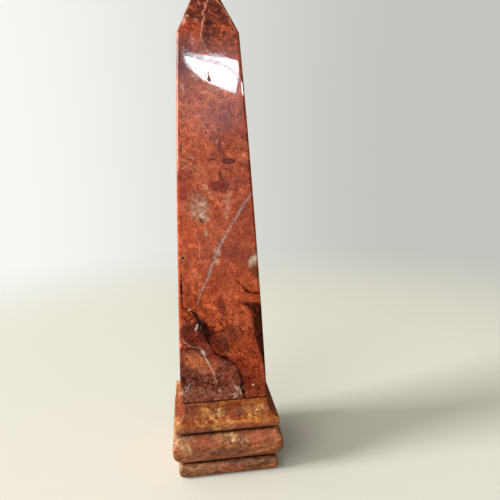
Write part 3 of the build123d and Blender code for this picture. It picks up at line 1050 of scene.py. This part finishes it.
def cement_finish():
    """Dark set cement between the stones, dull and gritty."""
    material, f = new_finish("dark cement")
    grit = f.noise(f.place(), 0.8, 3.0, 0.6)
    stops = [(0.3, tone(24, 13, 12)), (0.5, tone(40, 22, 18)), (0.7, tone(62, 38, 30))]
    colour = f.scale_of_tones(grit, stops)
    f.finished(colour, 0.85, grit, 0.08, 0.3)
    return material


# Clouds and beds of large grains on the fronts of the three base stones, given as the shaft's are; a
# few clouds are painted light, as marked
foot_clouds = [
    ((-30.0, 8.5), (9.0, 4.5), 0, 0.5, 0.7, tone(122, 88, 52)),
    ((-12.0, 9.0), (6.0, 3.5), 0, 0.5, 0.5, tone(150, 102, 66)),
    ((4.0, 6.0), (12.0, 3.5), 0, 0.5, 0.6, tone(148, 68, 50)),
    ((26.0, 10.0), (12.0, 4.0), 0, 0.5, 0.7, tone(92, 58, 34)),
    ((8.0, 10.5), (6.0, 2.0), 0, 0.5, 0.6, tone(104, 52, 34)),
    ((-24.0, 9.8), (6.5, 1.0), -16, 0.4, 0.75, tone(180, 132, 86)),
    ((-16.5, 5.6), (6.0, 0.9), -18, 0.4, 0.7, tone(164, 112, 72)),
    ((-33.0, 4.8), (5.0, 0.9), -20, 0.4, 0.7, tone(84, 48, 28)),
    ((-9.0, 3.8), (6.0, 1.0), -14, 0.4, 0.7, tone(86, 46, 28)),
    ((-3.0, 8.6), (7.0, 0.9), -14, 0.4, 0.7, tone(172, 106, 68)),
    ((10.0, 4.8), (8.0, 0.8), -12, 0.4, 0.7, tone(174, 108, 70)),
    ((16.0, 6.8), (7.0, 0.8), -10, 0.4, 0.7, tone(90, 48, 30)),
    ((22.0, 9.0), (7.0, 0.8), -10, 0.4, 0.7, tone(156, 100, 60)),
]
roll_clouds = [
    ((-34.2, 31.0), (6.6, 3.2), 38, 0.2, 0.85, tone(194, 142, 90)),
    ((3.2, 34.8), (6.5, 3.2), -12, 0.2, 0.8, tone(180, 124, 76)),
    ((-17.0, 31.0), (9.5, 7.0), 10, 0.25, 0.85, tone(144, 62, 32)),
    ((-2.0, 23.5), (14.0, 3.6), 6, 0.25, 0.8, tone(110, 64, 46)),
    ((-27.0, 21.5), (8.0, 4.0), 20, 0.5, 0.6, tone(150, 92, 64)),
    ((-31.0, 37.5), (9.0, 3.0), 0, 0.5, 0.65, tone(138, 100, 74)),
    ((26.0, 33.0), (13.0, 5.0), 0, 0.35, 0.75, tone(154, 70, 40)),
    ((12.0, 30.5), (4.6, 4.5), 0, 0.25, 0.75, tone(100, 56, 32)),
    # Painted light: a pale pink band along the roll's lower rounding, as if lit from the floor
    ((0.0, 16.2), (44.0, 2.0), 0, 0.6, 0.5, tone(190, 112, 84)),
    ((-14.0, 26.6), (6.0, 1.0), -18, 0.4, 0.6, tone(188, 110, 84)),
    ((-22.0, 18.6), (8.0, 1.0), -14, 0.4, 0.65, tone(180, 114, 78)),
    ((20.0, 21.0), (9.0, 1.1), -10, 0.4, 0.6, tone(172, 104, 66)),
    ((30.0, 24.6), (6.0, 0.9), -12, 0.4, 0.6, tone(100, 54, 34)),
]
roll_grains = [
    ((-34.2, 31.1), (6.2, 2.8), 38),
    ((3.0, 34.6), (6.0, 3.0), -15),
    ((13.0, 30.0), (3.0, 3.4), 0),
]
cove_clouds = [
    ((-27.0, 52.0), (9.5, 8.0), 0, 0.35, 0.9, tone(122, 50, 22)),
    ((-27.0, 59.2), (10.0, 2.2), 0, 0.4, 0.85, tone(106, 54, 50)),
    ((11.0, 52.0), (7.6, 7.4), 0, 0.2, 0.95, tone(122, 52, 24)),
    ((-8.0, 59.4), (9.0, 1.8), 0, 0.4, 0.6, tone(112, 54, 34)),
    ((-24.0, 42.4), (17.0, 3.0), 0, 0.25, 0.92, tone(140, 76, 58)),
    ((1.0, 42.4), (12.0, 3.0), 0, 0.3, 0.9, tone(160, 92, 62)),
    ((25.0, 42.6), (15.0, 2.8), 0, 0.3, 0.85, tone(150, 84, 56)),
    ((26.0, 52.0), (7.0, 7.0), 0, 0.4, 0.5, tone(200, 118, 56)),
    # Painted highlight: a bright orange line along the lip of the nosing
    ((6.0, 46.0), (30.0, 0.9), 0, 0.5, 0.65, tone(208, 132, 64)),
    # Painted light: a pale cloud over the cove's left face, where the light from the left falls
    ((-41.0, 53.0), (7.5, 9.0), 0, 0.5, 0.85, tone(236, 168, 106)),
]
cove_grains = [
    ((-7.5, 51.0), (9.5, 6.5), 15),
    ((-15.0, 47.2), (6.0, 2.6), 10),
    ((22.5, 51.5), (6.5, 4.6), 0),
    ((30.0, 50.5), (2.6, 4.5), 0),
]


# The pieces in their finishes


def dressed(piece, node, material):
    """The piece in its finish, standing for a solid of the frame."""
    piece.data.materials.append(material)
    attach(piece, "root")
    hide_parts(node)


# Ground tones of the base stones and tones of their large grains, from dark to light
foot_tones = (tone(92, 50, 28), tone(128, 72, 42), tone(152, 90, 54), tone(180, 120, 78))
roll_tones = (tone(104, 52, 28), tone(138, 74, 39), tone(160, 88, 48), tone(184, 116, 70))
cove_tones = (tone(108, 48, 24), tone(138, 64, 30), tone(164, 84, 38), tone(188, 112, 52))
gold_grains = (tone(96, 46, 24), tone(152, 80, 34), tone(188, 122, 50), tone(226, 184, 112))
tan_grains = (tone(100, 58, 36), tone(168, 108, 66), tone(200, 144, 92), tone(230, 190, 140))
# Painted shade along the sheltered joints, and on the foot along the floor: level, reach above and
# below, and how far out
foot_painted_shade = [(float(foot_high[2]), 3.0, 36.5), (0.0, 1.6, 90.0)]
roll_painted_shade = [(float(roll_high[2]), 2.3, 38.6), (float(roll_low[2]), 2.0, 38.0)]
cove_painted_shade = [(float(cove_low[2]), 1.0, 39.6), (float(cove_high[2]), 0.9, 31.9)]
foot_stone = slab_finish(
    "honed brown marble", (60, 8, 21), foot_tones, foot_clouds, [], tan_grains, foot_painted_shade, 0.34, 0.35
)
roll_stone = slab_finish(
    "honed brick marble", (13, 70, 4), roll_tones, roll_clouds, roll_grains, tan_grains, roll_painted_shade,
    0.42, 0.4
)
cove_stone = slab_finish(
    "honed gold and red marble", (5, 33, 90), cove_tones, cove_clouds, cove_grains, gold_grains,
    cove_painted_shade, 0.3, 0.25
)

foot_grid = make_slab(foot_low, foot_high, foot_edge_radius, foot_corners, 41)
roll_grid = make_slab(roll_low, roll_high, roll_edge_radius, roll_corners, 51)
dressed(skin("foot_block", foot_grid), "foot_slab", foot_stone)
dressed(skin("roll_block", roll_grid), "roll_slab", roll_stone)
dressed(skin("cove_block", make_cove()), "cove_slab", cove_stone)
dressed(skin("needle", make_shaft()), "shaft", shaft_finish())

cement = cement_finish()
for node in ("foot_bed", "roll_bed", "shaft_bed"):
    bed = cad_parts[node]
    bed.data.materials.clear()
    bed.data.materials.append(cement)


# Floor, windows, lamps and room

floor_radius = 2600.0
fade_start, fade_end = 300.0, 1000.0
floor_rings, floor_spokes = 8, 96


def stage_piece(name, points, faces, material):
    """A plain mesh of the studio, in millimetres."""
    mesh = bpy.data.meshes.new(name)
    mesh.from_pydata((np.array(points) * MM).tolist(), [], faces)
    mesh.materials.append(material)
    piece = placed(name, mesh)
    return piece


def make_floor():
    """A flat pale disc: points = radius (cos a, sin a), in rings from the middle out."""
    radius = np.linspace(0, floor_radius, floor_rings + 1)[1:, None]
    angle = np.linspace(0, 2 * math.pi, floor_spokes, endpoint=False)[None]
    level = np.zeros((floor_rings, floor_spokes))
    rings = np.stack([radius * np.cos(angle), radius * np.sin(angle), level], axis=-1)
    points = np.concatenate([[(0.0, 0.0, 0.0)], rings.reshape(-1, 3)])
    index = 1 + np.arange(floor_rings * floor_spokes).reshape(floor_rings, floor_spokes)
    ahead = np.roll(index, -1, axis=1)
    middle = np.stack([np.zeros(floor_spokes, int), index[0], ahead[0]], axis=-1)
    bands = np.stack([index[:-1], index[1:], ahead[1:], ahead[:-1]], axis=-1).reshape(-1, 4)
    floor = stage_piece("floor", points, middle.tolist() + bands.tolist(), floor_finish())
    floor.visible_glossy = False


def floor_finish():
    """Pale matte floor that fades into the backdrop far from the object."""
    material, f = new_finish("pale floor")
    matte = f.add("ShaderNodeBsdfDiffuse")
    matte.inputs["Color"].default_value = tone(224, 224, 213)
    clear = f.add("ShaderNodeBsdfTransparent")
    mixer = f.add("ShaderNodeMixShader")
    f.feed(mixer.inputs[0], f.span(f.vector("LENGTH", f.place()), fade_start, fade_end))
    f.feed(mixer.inputs[1], matte.outputs[0])
    f.feed(mixer.inputs[2], clear.outputs[0])
    f.closed(mixer)
    return material


def aimed(middle, target):
    """The place and turn of a lamp that stands at middle and shines at target."""
    away = np.array(middle, float) - np.array(target, float)
    away /= np.linalg.norm(away)
    right = np.cross((0, 0, 1), away)
    right /= np.linalg.norm(right)
    turned = np.eye(4)
    turned[:3, :3] = np.stack([right, np.cross(away, right), away], axis=1)
    turned[:3, 3] = np.array(middle) * MM
    return Matrix(turned.tolist())


def add_soft_box(name, middle, size, power, colour):
    """A soft lamp with a square front, aimed at the middle of the object."""
    lamp = bpy.data.lights.new(name, "AREA")
    lamp.shape = "RECTANGLE"
    lamp.size, lamp.size_y = size[0] * MM, size[1] * MM
    lamp.energy = power
    lamp.color = colour
    box = placed(name, lamp)
    box.matrix_world = aimed(middle, (0, 0, 150))
    box.visible_camera = False


def window_piece(name, colour, points, faces):
    """A bright panel that lights the object and shows in its polish, but isn't seen itself."""
    material, f = new_finish(name.replace("_", " ") + " light")
    glow = f.add("ShaderNodeEmission")
    glow.inputs["Color"].default_value = colour
    glow.inputs["Strength"].default_value = window_strength
    f.closed(glow)
    panel = stage_piece(name, points, faces, material)
    panel.visible_camera = False
    return panel


# The bright window that the polished front mirrors: its outline, across and up, on an
# upright plane in front of the object
window_distance = 1500.0
window_strength = 28.0
window_outline = [
    (-7, 800), (58, 797), (128, 793), (185, 777), (196, 769), (193, 717), (180, 652), (167, 652),
    (123, 672), (82, 688), (50, 709), (15, 744), (-4, 774),
]


def make_window():
    """A flat bright panel: its outline joined to its middle."""
    rim = np.array(window_outline, float)
    points = [(x, -window_distance, z) for x, z in [*rim, rim.mean(axis=0)]]
    count = len(rim)
    faces = [(step, (step + 1) % count, count) for step in range(count)]
    window_piece("window", (0.78, 0.93, 1.0, 1.0), points, faces)


# A second window, far round to the right, that shows as a thin glint on the front right
# corner of the shaft: directions in degrees from the front, each with its lower and upper level
side_window = [(18, 650, 713), (30, 649, 711), (60, 647, 709), (72, 635, 697)]


def make_side_window():
    """A curved strip that only the polish shows: points = distance (sin a, -cos a), low and high."""
    turned, low, high = np.array(side_window, float).T
    across = window_distance * np.sin(np.radians(turned))
    ahead = -window_distance * np.cos(np.radians(turned))
    edges = [np.stack([across, ahead, level], axis=1) for level in (low, high)]
    points = np.stack(edges, axis=1).reshape(-1, 3)
    faces = [(k, k + 1, k + 3, k + 2) for k in range(0, len(points) - 2, 2)]
    strip = window_piece("side_window", (0.9, 0.96, 1.0, 1.0), points, faces)
    strip.visible_diffuse = False


room_strength = 1.05

# Pale glows in the room that the polished front mirrors, under the window and low down: the
# direction, how far from it in degrees the glow starts and is full, and its strength
room_glows = [
    ((0.062, -0.969, 0.240), 6.8, 1.5, 1.12),
    ((0.062, -0.996, 0.061), 15.0, 8.0, 0.32),
]


def make_world():
    """Soft room light from the left and above, and the pale backdrop for what the camera sees, with
    painted shade that darkens it towards the right.
    """
    world = bpy.data.worlds.new("studio")
    bpy.context.scene.world = world
    world.use_nodes = True
    f = Finish(world.node_tree)
    direction = f.add("ShaderNodeTexCoord").outputs["Generated"]
    x, _, z = f.parts(direction)
    height = f.times(f.span(z, -0.1, 0.45, 0.04, 1.0), f.span(z, 0.6, 1.0, 1.0, 0.6))
    side = f.span(x, -0.9, 0.35, 1.2, 0.24)
    level = f.times(height, side, room_strength)
    glows = []
    for toward, start, full, _ in room_glows:
        nearness = f.vector("DOT_PRODUCT", direction, toward)
        start, full = math.cos(math.radians(start)), math.cos(math.radians(full))
        glows.append(f.span(nearness, start, full))
    added = [f.times(glow, entry[3]) for glow, entry in zip(glows, room_glows)]
    room = f.add("ShaderNodeBackground")
    room_colour = f.blend(f.plus(*glows), (1.0, 0.945, 0.83, 1.0), (0.84, 0.92, 1.0, 1.0))
    f.feed(room.inputs["Color"], room_colour)
    f.feed(room.inputs["Strength"], f.plus(level, *added))
    pale = f.add("ShaderNodeBackground")
    # Painted shade: the backdrop darkens from the left to the right
    backdrop_painted_shade = [(0.0, tone(248, 248, 245)), (1.0, tone(197, 197, 191))]
    f.feed(pale.inputs["Color"], f.scale_of_tones(f.span(x, -0.4, 0.45), backdrop_painted_shade))
    mixer = f.add("ShaderNodeMixShader")
    f.feed(mixer.inputs[0], f.add("ShaderNodeLightPath").outputs["Is Camera Ray"])
    f.feed(mixer.inputs[1], room.outputs[0])
    f.feed(mixer.inputs[2], pale.outputs[0])
    f.closed(mixer, "ShaderNodeOutputWorld")


make_floor()
make_window()
make_side_window()
make_world()
add_soft_box("left_soft_box", (-6630, -816, 2450), (2140, 3570), power=740.0, colour=(1.0, 0.99, 0.98))
add_soft_box("front_soft_box", (-800, -1100, 900), (800, 600), power=6.0, colour=(1.0, 0.98, 0.96))


# Camera, at the photograph's viewing angle

image_width = 500
focal_pixels = 477.05
sensor_width = 36.0
camera_place = (-21.53, -373.52, 243.27)
camera_yaw, camera_pitch, camera_roll = 0.12665, 0.18794, 0.02925


def make_camera():
    """The camera's own axes, from its yaw to the right, its pitch down and its roll."""
    forward = np.array([
        math.sin(camera_yaw) * math.cos(camera_pitch),
        math.cos(camera_yaw) * math.cos(camera_pitch),
        -math.sin(camera_pitch),
    ])
    level_right = np.array([math.cos(camera_yaw), -math.sin(camera_yaw), 0.0])
    level_down = np.cross(forward, level_right)
    right = math.cos(camera_roll) * level_right + math.sin(camera_roll) * level_down
    down = -math.sin(camera_roll) * level_right + math.cos(camera_roll) * level_down
    data = bpy.data.cameras.new("camera")
    data.sensor_width = sensor_width
    data.lens = focal_pixels / image_width * sensor_width
    camera = placed("camera", data)
    turned = np.eye(4)
    turned[:3, :3] = np.stack([right, -down, -forward], axis=1)
    turned[:3, 3] = np.array(camera_place) * MM
    camera.matrix_world = Matrix(turned.tolist())
    bpy.context.scene.camera = camera


make_camera()
bpy.context.scene.view_settings.view_transform = "Standard"
